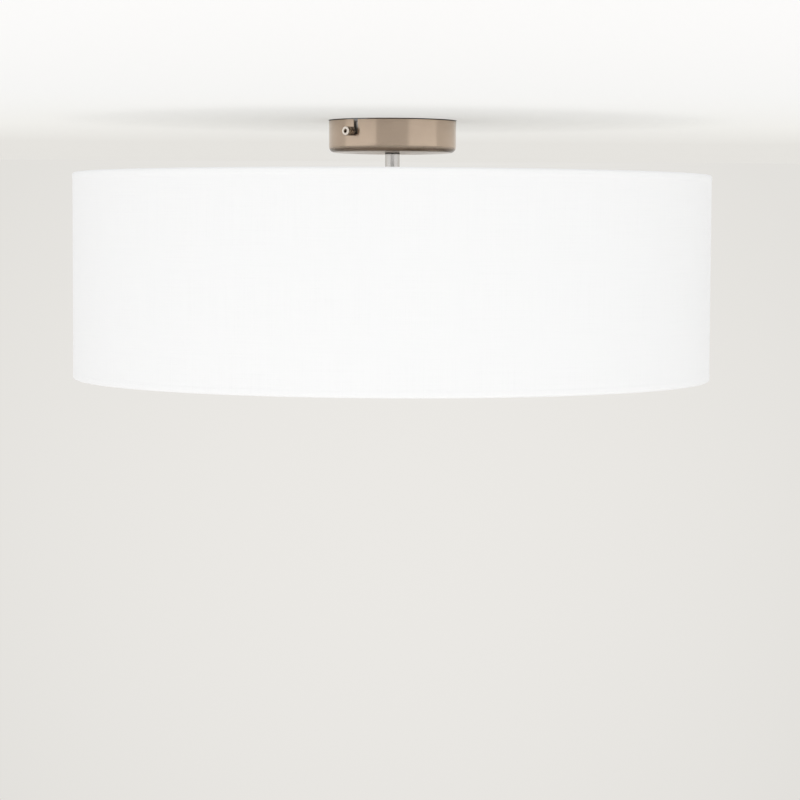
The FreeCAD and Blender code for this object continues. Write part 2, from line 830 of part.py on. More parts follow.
def make_core(name):
    """Ceramic block at the bottom of a lamp holder."""
    body = new_body(name)
    plan = new_sketch(body, f"{name}_plan", "XY_Plane")
    half = "sizes.core_width / 2"
    draw(plan, rectangle(f"-{half}", f"-{half}", half, half))
    pad(body, plan, "sizes.core_depth")
    return body


def make_lamp(name):
    """Tubular screw lamp: screw cap and a straight opal tube."""
    return turned(
        name,
        [
            ("0", "0"),
            ("sizes.lamp_screw_radius", "0"),
            ("sizes.lamp_screw_radius", "sizes.lamp_screw_length"),
            ("sizes.lamp_radius", "sizes.lamp_screw_length"),
            ("sizes.lamp_radius", "sizes.lamp_length"),
            ("0", "sizes.lamp_length"),
        ],
    )


# ---- diffuser ----


def make_rod():
    """Rod from the lamp housing down to the finial."""
    rod = solid_cylinder("rod", "sizes.rod_radius", "places.rod_top - places.rod_bottom")
    rod.setExpression(".Placement.Base.z", "places.rod_bottom")
    return rod


def make_rod_nuts():
    """Three nuts on the rod: inside the housing, below it, and above the diffuser."""
    levels = {
        "inside": "places.housing_bottom + sizes.housing_wall",
        "below": "places.housing_bottom - sizes.rod_nut_height",
        "stop": "places.disc_top",
    }
    nuts = []
    for name, level in levels.items():
        nut = hex_nut(
            f"rod_nut_{name}",
            "sizes.rod_nut_flats",
            "sizes.rod_nut_height",
            "sizes.rod_radius + sizes.thread_clearance",
        )
        nut.setExpression(".Placement.Base.z", level)
        nuts.append(nut)
    return group("rod_nut_set", nuts)


def make_finial():
    """Twelve-sided knob with a narrower collar and a blind bore for the rod."""
    grip = prism("finial_grip", 12, "sizes.finial_radius", "sizes.finial_height - sizes.finial_collar_height")
    collar = prism("finial_collar", 12, "sizes.finial_collar_radius", "sizes.finial_height")
    depth = "sizes.finial_engagement + sizes.finial_bore_spare"
    bore = solid_cylinder("finial_bore", "sizes.rod_radius + sizes.thread_clearance", depth)
    bore.setExpression(".Placement.Base.z", f"sizes.finial_height - ({depth})")
    finial = minus("finial", joined("finial_outside", [grip, collar]), [bore])
    finial.setExpression(".Placement.Base.z", "places.disc_bottom - sizes.finial_height")
    return finial


# ---- all pieces by name ----

pieces = {
    "ceiling_bracket": make_bracket(),
    "bracket_earth_screw": make_bracket_earth_screw(),
    "side_screw_front": make_side_screw("screw_front", TOWARDS_FRONT),
    "side_screw_back": make_side_screw("screw_back", TOWARDS_BACK),
    "canopy_cup": make_canopy(),
    "stem_nuts": make_stem_nuts(),
    "threaded_tube": make_tube(
        "stem_tube", "sizes.tube_bore_radius", "sizes.tube_radius", "places.tube_bottom", "places.tube_top"
    ),
    "stem_collar": make_tube(
        "collar", "places.tube_hole", "sizes.sleeve_radius", "places.collar_bottom", "places.canopy_bottom"
    ),
    "stem_sleeve": make_tube(
        "sleeve",
        "sizes.sleeve_radius - sizes.sleeve_wall",
        "sizes.sleeve_radius",
        "places.hub_top",
        "places.collar_bottom",
    ),
    "terminal_block": make_terminal_block(),
    "terminal_screws": make_terminal_screws(),
    "canopy_earth_stud": make_earth_stud(),
    "supply_lead": make_lead(),
    "lead_connector": make_connector(),
    "spider": make_spider(),
    "shade_drum": make_drum(),
    "housing_lid": make_lid(),
    "lamp_housing": make_housing(),
    "lamp_holders": group("holders", on_arms("holder", make_holder)),
    "holder_cores": group("cores", on_arms("core", make_core, number("sizes.holder_floor"))),
    "diffuser_rod": make_rod(),
    "rod_nuts": make_rod_nuts(),
    "diffuser_disc": make_tube(
        "disc", "places.rod_hole", "places.disc_radius", "places.disc_bottom", "places.disc_top"
    ),
    "finial_knob": make_finial(),
}
for index, lamp in enumerate(on_arms("lamp", make_lamp, number("places.lamp_seat"))):
    pieces[f"bulb_{index + 1}"] = lamp

document.recompute()


def check(label, piece):
    """Stop if a piece failed to build."""
    if piece.Shape.isNull() or not piece.Shape.isValid():
        raise RuntimeError(f"{label} has no valid shape")


for item in document.Objects:
    if "Invalid" in item.State or "Error" in item.State:
        raise RuntimeError(f"{item.Name} failed: {item.State}")

os.makedirs("parts", exist_ok=True)
for label, piece in pieces.items():
    check(label, piece)
    piece.Label = label
    piece.Shape.exportStep(f"parts/{label}.step")
    print(f"{label}: {len(piece.Shape.Solids)} solid(s), {piece.Shape.Volume:.1f} cubic millimetres")
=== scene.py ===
"""The looks of a semi-flush ceiling light: bronze-nickel canopy, short stem and a wide white fabric drum."""

import math

import bmesh
import bpy
from mathutils import Matrix, Vector


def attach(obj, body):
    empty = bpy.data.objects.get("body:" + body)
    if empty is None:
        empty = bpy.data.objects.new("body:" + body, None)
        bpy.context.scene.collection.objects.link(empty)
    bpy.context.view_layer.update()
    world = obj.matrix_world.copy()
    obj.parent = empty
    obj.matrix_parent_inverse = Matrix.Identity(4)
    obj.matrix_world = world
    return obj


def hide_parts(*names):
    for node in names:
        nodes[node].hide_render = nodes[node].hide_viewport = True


MM = 0.001

# Sizes in millimetres; heights are measured from the ceiling, so all are negative.
# A bayonet slot has an upright leg between its two sides and a foot that runs on past the left one.
CANOPY_RADIUS = 60.0
CANOPY_RIM = -0.6
CANOPY_BOTTOM = -30.1
CANOPY_CORNER = 5.5
CANOPY_WALL = 1.0
STEM_HOLE = 5.15
SLOT_FOOT_END = -2.45
SLOT_SIDES = (1.52, 6.02)
SLOT_FOOT_LEVELS = (-9.55, -14.05)
SCREW_HEIGHT = -11.8
SCREW_SEAT = 60.3

# The cloth's wall lies a little inside its hems, and the liner behind it.
SHADE_RADIUS = 300.0
SHADE_TOP = -50.7
SHADE_BOTTOM = -242.6
HEM = 5.8
HEM_STEP = 0.25
CLOTH_THICKNESS = 0.5
LINER_THICKNESS = 0.3
LINER_INSET = 0.75
LAP_DEGREES = 1.9

# HOLDER_START is the reach and height at which a holder begins on its arm; the rest goes along the arm.
LAMP_TILT = math.radians(20.0)
HOLDER_START = (31.816, -88.9)
HOLDER_RADIUS = 19.0
HOLDER_LENGTH = 54.0
HOLDER_FLOOR = 24.0
LAMP_SEAT = 30.3
LAMP_RADIUS = 15.0
LAMP_LENGTH = 115.0

FINIAL_TOP = -234.6
FINIAL_BOTTOM = -248.6
FINIAL_RADIUS = 9.0

# How far the camera stands round the light from its front.
VIEW_AZIMUTH = math.radians(38.25)

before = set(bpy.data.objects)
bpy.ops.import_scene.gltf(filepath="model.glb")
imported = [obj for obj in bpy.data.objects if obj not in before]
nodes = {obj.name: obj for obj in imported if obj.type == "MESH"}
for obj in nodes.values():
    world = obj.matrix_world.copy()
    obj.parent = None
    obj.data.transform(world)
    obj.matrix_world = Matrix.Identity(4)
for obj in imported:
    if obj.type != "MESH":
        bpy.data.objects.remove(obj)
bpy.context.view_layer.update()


# ---------------------------------------------------------------- camera


def set_up_camera():
    """The photograph's own view: from just under the shade's top rim, about 2.4 m away."""
    distance, height = 2.3664, -0.10314
    tilt, pan, roll = math.radians(3.8895), math.radians(0.2023), math.radians(0.2879)
    ahead = Vector((math.sin(pan) * math.cos(tilt), math.cos(pan) * math.cos(tilt), -math.sin(tilt)))
    right = Vector((math.cos(pan), -math.sin(pan), 0.0))
    up = right.cross(ahead)
    across = right * math.cos(roll) + up * math.sin(roll)
    upright = up * math.cos(roll) - right * math.sin(roll)
    turn = Matrix.Rotation(VIEW_AZIMUTH, 3, "Z")
    place = turn @ Vector((0.0, -distance, height))
    axes = [turn @ across, turn @ upright, -(turn @ ahead)]
    data = bpy.data.cameras.new("view_from_below_left")
    data.sensor_width = 36.0
    data.lens = 112.25
    data.clip_start = 0.05
    data.clip_end = 60.0
    camera = bpy.data.objects.new("view_from_below_left", data)
    camera.matrix_world = Matrix.Translation(place) @ Matrix(axes).transposed().to_4x4()
    bpy.context.scene.collection.objects.link(camera)
    bpy.context.scene.camera = camera


set_up_camera()


# ---------------------------------------------------------------- finishes


def arithmetic(tree, operation, *terms):
    """One step of arithmetic between numbers and outputs of nodes."""
    step = tree.nodes.new("ShaderNodeMath")
    step.operation = operation
    for socket, term in zip(step.inputs, terms):
        if isinstance(term, (int, float)):
            socket.default_value = term
        else:
            tree.links.new(term, socket)
    return step.outputs[0]


def ramp_between(tree, value, start, end, low, high):
    """A number that goes from low to high while the value goes from start to end."""
    spread = tree.nodes.new("ShaderNodeMapRange")
    for socket, number in zip(("From Min", "From Max", "To Min", "To Max"), (start, end, low, high)):
        spread.inputs[socket].default_value = number
    tree.links.new(value, spread.inputs["Value"])
    return spread.outputs[0]


def along_way(tree, vector, way):
    """How far a vector goes along a given way."""
    product = tree.nodes.new("ShaderNodeVectorMath")
    product.operation = "DOT_PRODUCT"
    product.inputs[1].default_value = way
    tree.links.new(vector, product.inputs[0])
    return product.outputs["Value"]


class Finish:
    """A material in the making: its node tree, its shader and the pattern coordinates on it."""

    def __init__(self, name, colour, roughness, metallic=0.0):
        self.material = bpy.data.materials.new(name)
        self.material.use_nodes = True
        self.tree = self.material.node_tree
        self.shader = self.tree.nodes["Principled BSDF"]
        self.set("Base Color", (*colour, 1.0))
        self.set("Roughness", roughness)
        self.set("Metallic", metallic)
        self.place = self.node("ShaderNodeTexCoord").outputs["Object"]

    def set(self, socket, value):
        self.shader.inputs[socket].default_value = value

    def node(self, kind, **settings):
        made = self.tree.nodes.new(kind)
        for key, value in settings.items():
            setattr(made, key, value)
        return made

    def join(self, source, target):
        self.tree.links.new(source, target)

    def maths(self, operation, *terms):
        return arithmetic(self.tree, operation, *terms)

    def stretched(self, scale):
        """Object coordinates scaled to so many cells a metre along each axis."""
        mapping = self.node("ShaderNodeMapping")
        mapping.inputs["Scale"].default_value = scale
        self.join(self.place, mapping.inputs["Vector"])
        return mapping.outputs["Vector"]

    def rolled_out(self, around, along):
        """The turned surface rolled flat: angle times `around`, and height less radius times `along`."""
        parts = self.node("ShaderNodeSeparateXYZ")
        self.join(self.place, parts.inputs[0])
        angle = self.maths("ARCTAN2", parts.outputs["Y"], parts.outputs["X"])
        flat = self.maths("ADD", self.maths("MULTIPLY", parts.outputs["X"], parts.outputs["X"]),
                          self.maths("MULTIPLY", parts.outputs["Y"], parts.outputs["Y"]))
        radius = self.maths("SQRT", flat)
        height = self.maths("SUBTRACT", parts.outputs["Z"], radius)
        rolled = self.node("ShaderNodeCombineXYZ")
        self.join(self.maths("MULTIPLY", angle, around), rolled.inputs["X"])
        self.join(self.maths("MULTIPLY", height, along), rolled.inputs["Y"])
        return rolled.outputs[0]

    def noise(self, vector, detail=2.0, roughness=0.5, scale=1.0):
        made = self.node("ShaderNodeTexNoise")
        made.inputs["Scale"].default_value = scale
        made.inputs["Detail"].default_value = detail
        made.inputs["Roughness"].default_value = roughness
        self.join(vector, made.inputs["Vector"])
        return made.outputs["Fac"]

    def vary(self, pattern, socket, low, high, start=0.3, end=0.7):
        """A number of the shader that follows a pattern between two values."""
        self.join(ramp_between(self.tree, pattern, start, end, low, high), self.shader.inputs[socket])

    def tint(self, pattern, dark, light, start=0.3, end=0.7):
        """The colour follows a pattern from a darker to a lighter shade of itself."""
        ramp = self.node("ShaderNodeValToRGB")
        ramp.color_ramp.elements[0].position = start
        ramp.color_ramp.elements[0].color = (*dark, 1.0)
        ramp.color_ramp.elements[1].position = end
        ramp.color_ramp.elements[1].color = (*light, 1.0)
        self.join(pattern, ramp.inputs["Fac"])
        self.join(ramp.outputs["Color"], self.shader.inputs["Base Color"])

    def brushed_round(self, amount):
        """Brush lines that run round the upright axis."""
        round_axis = self.node("ShaderNodeTangent", direction_type="RADIAL", axis="Z")
        self.join(round_axis.outputs[0], self.shader.inputs["Tangent"])
        self.set("Anisotropic", amount)
        self.set("Anisotropic Rotation", 0.25)

    def relief(self, pattern, depth, strength=1.0):
        """Relief of a real depth in metres; a second one lies over the first."""
        bump = self.node("ShaderNodeBump")
        bump.inputs["Distance"].default_value = depth
        bump.inputs["Strength"].default_value = strength
        self.join(pattern, bump.inputs["Height"])
        normal = self.shader.inputs["Normal"]
        if normal.is_linked:
            self.join(normal.links[0].from_socket, bump.inputs["Normal"])
        self.join(bump.outputs["Normal"], normal)


def bronze_nickel():
    """Warm bronze-nickel plating brushed round the axis, with painted shade: a darker band on the rounded
    lower corner stands in for the dark reflection there.
    """
    corner_start, corner_full, corner_last, underside = -0.0262, -0.0278, -0.0297, -0.03
    finish = Finish("bronze_nickel_plating", (0.55, 0.435, 0.342), 0.2, 1.0)
    lines = finish.noise(finish.rolled_out(1.2, 7000.0), 3.0, 0.6)
    clouds = finish.noise(finish.stretched((28.0, 28.0, 28.0)), 3.0)
    parts = finish.node("ShaderNodeSeparateXYZ")
    finish.join(finish.place, parts.inputs[0])
    height = parts.outputs["Z"]
    # Painted shade: between the start of the corner and the underside the tone is pulled towards the dark end
    # of the tint, a dark reflection painted into the colour.
    below = ramp_between(finish.tree, height, corner_start, corner_full, 0.0, 0.7)
    above = ramp_between(finish.tree, height, underside, corner_last, 0.0, 1.0)
    tone = finish.maths("ADD", finish.maths("MULTIPLY", clouds, 0.3), 0.65)
    tone = finish.maths("SUBTRACT", tone, finish.maths("MULTIPLY", below, above))
    finish.tint(tone, (0.22, 0.163, 0.12), (0.575, 0.459, 0.364), 0.1, 0.86)
    finish.vary(lines, "Roughness", 0.17, 0.23)
    finish.relief(lines, 0.000012)
    finish.brushed_round(0.9)
    return finish.material


def screw_bronze():
    """Darker bronze of the side screws, mottled at random from nearly black to light bronze."""
    finish = Finish("screw_bronze", (0.26, 0.18, 0.125), 0.36, 1.0)
    random_mottle = finish.noise(finish.stretched((560.0, 560.0, 560.0)), 3.0, 0.65)
    finish.tint(random_mottle, (0.045, 0.03, 0.02), (0.66, 0.53, 0.40), 0.4, 0.62)
    finish.vary(random_mottle, "Roughness", 0.3, 0.5)
    return finish.material


def bright_ring():
    """The end face of the side screws, polished metal on the real screw; its pale colour at low metalness is
    a painted reflection that keeps it bright.
    """
    finish = Finish("screw_end_face", (0.97, 0.88, 0.79), 0.3, 0.2)
    turning = finish.noise(finish.stretched((2600.0, 300.0, 2600.0)), 2.0)
    finish.vary(turning, "Roughness", 0.28, 0.42)
    finish.relief(turning, 0.000008)
    return finish.material


def satin_nickel():
    """Bright nickel of the stem and the finial, with the fine turning lines left by the lathe."""
    finish = Finish("satin_nickel", (0.62, 0.60, 0.585), 0.09, 1.0)
    lines = finish.noise(finish.rolled_out(2.0, 6000.0), 2.0, 0.6)
    finish.vary(lines, "Roughness", 0.06, 0.12)
    finish.relief(lines, 0.000006)
    clouds = finish.noise(finish.stretched((90.0, 90.0, 40.0)), 2.0)
    finish.tint(clouds, (0.58, 0.56, 0.545), (0.65, 0.635, 0.62))
    return finish.material


def dark_collar():
    finish = Finish("dark_collar", (0.035, 0.032, 0.03), 0.42)
    grain = finish.noise(finish.stretched((2500.0, 2500.0, 2500.0)), 2.0)
    finish.vary(grain, "Roughness", 0.36, 0.5)
    finish.relief(grain, 0.00002)
    return finish.material


def zinc():
    """Bright zinc plating with its faint cloudy spangle and drawn lines."""
    finish = Finish("zinc_plating", (0.60, 0.61, 0.62), 0.34, 1.0)
    clouds = finish.noise(finish.stretched((160.0, 160.0, 160.0)), 4.0, 0.6)
    finish.tint(clouds, (0.52, 0.53, 0.55), (0.66, 0.665, 0.66))
    finish.vary(clouds, "Roughness", 0.26, 0.44)
    lines = finish.noise(finish.stretched((5200.0, 60.0, 900.0)), 2.0)
    finish.relief(lines, 0.00001)
    return finish.material


def threaded_steel(name, pitch):
    """Zinc-plated rod or tube with its thread, a ridge that climbs one pitch in each turn, with painted shade
    in its grooves.
    """
    finish = Finish(name, (0.58, 0.585, 0.59), 0.32, 1.0)
    parts = finish.node("ShaderNodeSeparateXYZ")
    finish.join(finish.place, parts.inputs[0])
    angle = finish.maths("ARCTAN2", parts.outputs["Y"], parts.outputs["X"])
    climb = finish.maths("MULTIPLY", parts.outputs["Z"], math.tau / (pitch * MM))
    ridge = finish.maths("SINE", finish.maths("ADD", climb, angle))
    finish.relief(finish.maths("MULTIPLY", ridge, 0.5), 0.0003)
    # Painted shade: the colour follows the ridge, dark in the grooves and light on the crests.
    finish.tint(finish.maths("ADD", finish.maths("MULTIPLY", ridge, 0.5), 0.5),
                (0.30, 0.30, 0.31), (0.64, 0.645, 0.65), 0.0, 0.8)
    return finish.material


def lamp_cap_nickel():
    """Thin nickelled sheet of a lamp's screw cap, with the scuffs of its thread."""
    finish = Finish("lamp_cap_nickel", (0.60, 0.59, 0.565), 0.3, 1.0)
    scuffs = finish.noise(finish.stretched((900.0, 900.0, 900.0)), 4.0, 0.65)
    finish.tint(scuffs, (0.50, 0.49, 0.47), (0.67, 0.66, 0.635))
    finish.vary(scuffs, "Roughness", 0.22, 0.46)
    return finish.material


def brass():
    finish = Finish("plain_brass", (0.74, 0.55, 0.24), 0.3, 1.0)
    clouds = finish.noise(finish.stretched((500.0, 500.0, 500.0)), 3.0)
    finish.tint(clouds, (0.62, 0.44, 0.18), (0.80, 0.61, 0.29))
    finish.vary(clouds, "Roughness", 0.24, 0.42)
    return finish.material


def white_powder_coat():
    """White powder coating with its fine orange peel."""
    finish = Finish("white_powder_coat", (0.83, 0.83, 0.815), 0.42)
    peel = finish.noise(finish.stretched((700.0, 700.0, 700.0)), 2.0)
    finish.relief(peel, 0.00006)
    clouds = finish.noise(finish.stretched((14.0, 14.0, 14.0)), 2.0)
    finish.tint(clouds, (0.81, 0.81, 0.795), (0.85, 0.85, 0.838))
    finish.vary(peel, "Roughness", 0.36, 0.48)
    return finish.material


def white_moulding(name, colour, roughness):
    """White moulded plastic with the fine etch of its tool."""
    finish = Finish(name, colour, roughness)
    etch = finish.noise(finish.stretched((1800.0, 1800.0, 1800.0)), 3.0, 0.6)
    finish.relief(etch, 0.00002)
    finish.vary(etch, "Roughness", roughness - 0.06, roughness + 0.08)
    clouds = finish.noise(finish.stretched((60.0, 60.0, 60.0)), 2.0)
    finish.tint(clouds, tuple(0.975 * c for c in colour), tuple(min(1.0, 1.02 * c) for c in colour))
    return finish.material


def unglazed_ceramic():
    finish = Finish("unglazed_ceramic", (0.82, 0.80, 0.755), 0.75)
    grain = finish.noise(finish.stretched((1300.0, 1300.0, 1300.0)), 4.0, 0.65)
    finish.tint(grain, (0.77, 0.745, 0.70), (0.85, 0.83, 0.79))
    finish.relief(grain, 0.00006)
    return finish.material


def shade_weave():
    """White cotton in plain weave: 2 threads a millimetre, with slubs, laminated on a stiff liner."""
    threads_round, turns_up = 3770.0, 2000.0 * math.pi
    finish = Finish("shade_weave", (0.94, 0.945, 0.952), 0.85)
    rolled = finish.rolled_out(threads_round, turns_up)
    parts = finish.node("ShaderNodeSeparateXYZ")
    finish.join(rolled, parts.inputs[0])
    warp = finish.maths("SINE", finish.maths("MULTIPLY", parts.outputs["X"], 0.5))
    weft = finish.maths("SINE", parts.outputs["Y"])
    over = finish.maths("MULTIPLY", warp, weft)
    slubs_up = finish.noise(finish.rolled_out(600.0, 14.0), 2.0, 0.6)
    slubs_round = finish.noise(finish.rolled_out(4.2, 1900.0), 2.0, 0.6)
    slubs = finish.maths("ADD", slubs_up, slubs_round)
    cloth = finish.maths("ADD", finish.maths("MULTIPLY", over, 0.35), slubs)
    finish.relief(cloth, 0.00007)
    finish.tint(slubs, (0.925, 0.93, 0.938), (0.955, 0.96, 0.966), 0.7, 1.3)
    finish.set("Sheen Weight", 0.12)
    finish.set("Sheen Roughness", 0.5)
    finish.set("Specular IOR Level", 0.25)
    return finish.material


def shade_liner():
    """Smooth white plastic on the shade's inside."""
    finish = Finish("shade_liner", (0.90, 0.90, 0.89), 0.5)
    ripple = finish.noise(finish.rolled_out(9.0, 30.0), 2.0)
    finish.relief(ripple, 0.0004)
    finish.vary(ripple, "Roughness", 0.42, 0.56)
    return finish.material


def opal(name, colour, roughness):
    """Milky acrylic or glass."""
    finish = Finish(name, colour, roughness)
    haze = finish.noise(finish.stretched((25.0, 25.0, 25.0)), 2.0)
    finish.vary(haze, "Roughness", roughness - 0.04, roughness + 0.05)
    finish.tint(haze, tuple(0.98 * c for c in colour), colour)
    finish.set("Subsurface Weight", 0.6)
    finish.set("Subsurface Radius", (0.012, 0.012, 0.011))
    finish.set("Subsurface Scale", 1.0)
    return finish.material


finishes = {
    "bronze_nickel": bronze_nickel(),
    "bronze_screw": screw_bronze(),
    "screw_end": bright_ring(),
    "satin_nickel": satin_nickel(),
    "dark_collar": dark_collar(),
    "zinc_steel": zinc(),
    "rod_thread": threaded_steel("threaded_rod", 1.0),
    "tube_thread": threaded_steel("threaded_tube_steel", 1.0),
    "brass_screw": brass(),
    "white_steel": white_powder_coat(),
    "white_polyamide": white_moulding("white_polyamide", (0.80, 0.80, 0.775), 0.5),
    "lead_sheath": white_moulding("lead_sheath", (0.78, 0.78, 0.76), 0.42),
    "white_holder": white_moulding("white_holder", (0.77, 0.765, 0.73), 0.36),
    "core_ceramic": unglazed_ceramic(),
    "shade_fabric": shade_weave(),
    "shade_liner": shade_liner(),
    "opal_acrylic": opal("opal_acrylic", (0.90, 0.90, 0.895), 0.34),
    "opal_lamp": opal("opal_lamp_glass", (0.91, 0.91, 0.895), 0.16),
    "lamp_cap": lamp_cap_nickel(),
}

NODE_FINISH = {
    "ceiling_bracket": "zinc_steel",
    "bracket_earth_screw": "brass_screw",
    "stem_nuts": "zinc_steel",
    "threaded_tube": "tube_thread",
    "stem_collar": "dark_collar",
    "stem_sleeve": "satin_nickel",
    "terminal_block": "white_polyamide",
    "terminal_screws": "brass_screw",
    "canopy_earth_stud": "brass_screw",
    "supply_lead": "lead_sheath",
    "lead_connector": "white_polyamide",
    "spider": "white_steel",
    "housing_lid": "white_steel",
    "lamp_housing": "white_steel",
    "lamp_holders": "white_holder",
    "holder_cores": "core_ceramic",
    "diffuser_rod": "rod_thread",
    "rod_nuts": "zinc_steel",
    "diffuser_disc": "opal_acrylic",
}

for node, finish in NODE_FINISH.items():
    for used in nodes[node].material_slots:
        used.material = finishes[finish]


# ---------------------------------------------------------------- making pieces


def profile_line(corners):
    """An open profile of (radius, height) corners in millimetres; a third number rounds that corner."""
    bm = bmesh.new()
    line = [bm.verts.new((corner[0] * MM, 0.0, corner[1] * MM)) for corner in corners]
    for start, end in zip(line, line[1:]):
        bm.edges.new((start, end))
    rounded = [(vert, corner[2]) for vert, corner in zip(line, corners) if len(corner) > 2]
    for vert, radius in rounded:
        bmesh.ops.bevel(bm, geom=[vert], offset=radius * MM, offset_type="OFFSET", segments=5,
                        profile=0.5, affect="VERTICES", material=-1)
    return bm


def spin_round(bm, steps):
    """Turns a profile about the upright axis into a closed skin."""
    bmesh.ops.spin(bm, geom=bm.verts[:] + bm.edges[:], cent=(0.0, 0.0, 0.0), axis=(0.0, 0.0, 1.0),
                   angle=math.tau, steps=steps, use_merge=True, use_duplicate=False)
    bmesh.ops.remove_doubles(bm, verts=bm.verts, dist=1e-7)
    bmesh.ops.dissolve_degenerate(bm, edges=bm.edges, dist=1e-7)
    bmesh.ops.recalc_face_normals(bm, faces=bm.faces)


def finished(name, bm, finish, body, replaced=(), crease=35.0):
    """Puts a made shape in the scene as a piece of the light that rides on a body."""
    mesh = bpy.data.meshes.new(name)
    bm.to_mesh(mesh)
    bm.free()
    for used in finish if isinstance(finish, (list, tuple)) else [finish]:
        mesh.materials.append(finishes[used])
    for face in mesh.polygons:
        face.use_smooth = True
    mesh.set_sharp_from_angle(angle=math.radians(crease))
    piece = bpy.data.objects.new(name, mesh)
    bpy.context.scene.collection.objects.link(piece)
    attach(piece, body)
    if replaced:
        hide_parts(*replaced)
    return piece


def soften(piece, width):
    """Takes the sharpness off the piece's edges."""
    bevel = piece.modifiers.new("softened_edges", "BEVEL")
    bevel.width = width * MM
    bevel.segments = 2
    bevel.limit_method = "ANGLE"
    bevel.angle_limit = math.radians(40.0)
    flat = piece.modifiers.new("flat_faces", "WEIGHTED_NORMAL")
    flat.keep_sharp = True


def knurl(bm, steps, beyond, share, cycle=2, grooves=(1,), below=math.inf):
    """Draws a turned shape's outermost vertices in at the grooves of each cycle of its steps."""
    for vert in bm.verts:
        reach = math.hypot(vert.co.x, vert.co.y)
        turn = round(math.atan2(vert.co.y, vert.co.x) / (math.tau / steps))
        if turn % cycle in grooves and reach > beyond * MM and vert.co.z < below * MM:
            vert.co.x *= share
            vert.co.y *= share


# ---------------------------------------------------------------- canopy


def cut_slots(bm):
    """Opens an L-shaped slot in each of the wall's two sides: upright leg to the rim, foot to one side."""
    near_side, slot_reach, wall_part = 0.058, 0.012, 0.055
    foot_top, foot_bottom = SLOT_FOOT_LEVELS
    left, right = SLOT_SIDES
    for way in (1.0, -1.0):
        for where in (SLOT_FOOT_END, left, right):
            side = []
            for face in bm.faces:
                centre = face.calc_center_median()
                if centre.y * way < -near_side and abs(centre.x) < slot_reach:
                    side.append(face)
            around = {edge for face in side for edge in face.edges}
            around |= {vert for face in side for vert in face.verts}
            bmesh.ops.bisect_plane(bm, geom=side + list(around), dist=1e-7,
                                   plane_co=(where * MM * way, 0.0, 0.0), plane_no=(1.0, 0.0, 0.0))
    for level in (foot_top, foot_bottom):
        bmesh.ops.bisect_plane(bm, geom=bm.faces[:] + bm.edges[:] + bm.verts[:], dist=1e-7,
                               plane_co=(0.0, 0.0, level * MM), plane_no=(0.0, 0.0, 1.0))
    gone = []
    for face in bm.faces:
        centre = face.calc_center_median()
        if abs(centre.y) < wall_part or centre.z < foot_bottom * MM:
            continue
        across = centre.x * (1.0 if centre.y < 0.0 else -1.0) / MM
        if left < across < right or (SLOT_FOOT_END < across < right and centre.z < foot_top * MM):
            gone.append(face)
    bmesh.ops.delete(bm, geom=gone, context="FACES")


def make_canopy():
    """Spun cup with a rounded lower corner and two L-shaped slots that run up to the rim."""
    bm = profile_line(
        [(CANOPY_RADIUS, CANOPY_RIM), (CANOPY_RADIUS, CANOPY_BOTTOM, CANOPY_CORNER),
         (STEM_HOLE, CANOPY_BOTTOM)],
    )
    spin_round(bm, 240)
    cut_slots(bm)
    cup = finished("canopy", bm, "bronze_nickel", "canopy", ["canopy_cup"], crease=50.0)
    wall = cup.modifiers.new("spun_wall", "SOLIDIFY")
    wall.thickness = CANOPY_WALL * MM
    wall.offset = -1.0
    wall.use_even_offset = True
    soften(cup, 0.16)


make_canopy()


def make_side_screw(name, replaced, body, way):
    """Side screw: knurled barrel 10 mm long with a bright end face and a socket, and its shank behind."""
    steps = 48
    head, shank, socket, mouth = 4.2, 2.0, 1.25, 1.95
    end, tip = -10.0, 10.0
    bm = profile_line(
        [(0.0, -6.0), (socket, -6.0), (socket, -9.3), (mouth, end), (3.5, end, 0.3), (4.0, -9.6),
         (head, -9.2), (head, -0.9), (3.9, -0.3), (shank, -0.3), (shank, 9.5), (1.5, tip), (0.0, tip)],
    )
    spin_round(bm, steps)
    knurl(bm, steps, head - 0.05, 0.955)
    for face in bm.faces:
        centre = face.calc_center_median()
        reach = math.hypot(centre.x, centre.y)
        face.material_index = 1 if centre.z < (end + 0.5) * MM and reach > mouth * MM else 0
    seat = Matrix.Translation((0.0, -SCREW_SEAT * way * MM, SCREW_HEIGHT * MM))
    turned = Matrix.Rotation(math.radians(-90.0 * way), 4, "X")
    bmesh.ops.transform(bm, matrix=seat @ turned, verts=bm.verts)
    finished(name, bm, ["bronze_screw", "screw_end"], body, [replaced], crease=28.0)


make_side_screw("side_screw_near", "side_screw_front", "screw_front", 1.0)
make_side_screw("side_screw_far", "side_screw_back", "screw_back", -1.0)


# ---------------------------------------------------------------- shade


def make_shade():
    """Fabric turned over a hoop at each edge, with the white liner between the two hems."""
    out = SHADE_RADIUS
    hem = out - HEM
    outline = []
    for edge, way in ((SHADE_TOP, -1.0), (SHADE_BOTTOM, 1.0)):
        under = edge + way * HEM
        turned_in = [
            (out - 0.9, under + way * 0.1), (hem + 1.4, under - way * 0.2, 0.7),
            (hem, under - way * 1.6, 1.2), (hem, edge, 2.4), (out, edge, 2.4),
            (out, under - way * 0.6, 0.8), (out - HEM_STEP, under + way * 0.5, 0.8),
        ]
        outline += turned_in if edge == SHADE_TOP else turned_in[::-1]
    bm = profile_line(outline)
    spin_round(bm, 288)
    return finished("shade_cloth", bm, "shade_fabric", "canopy", ["shade_drum"], crease=60.0)


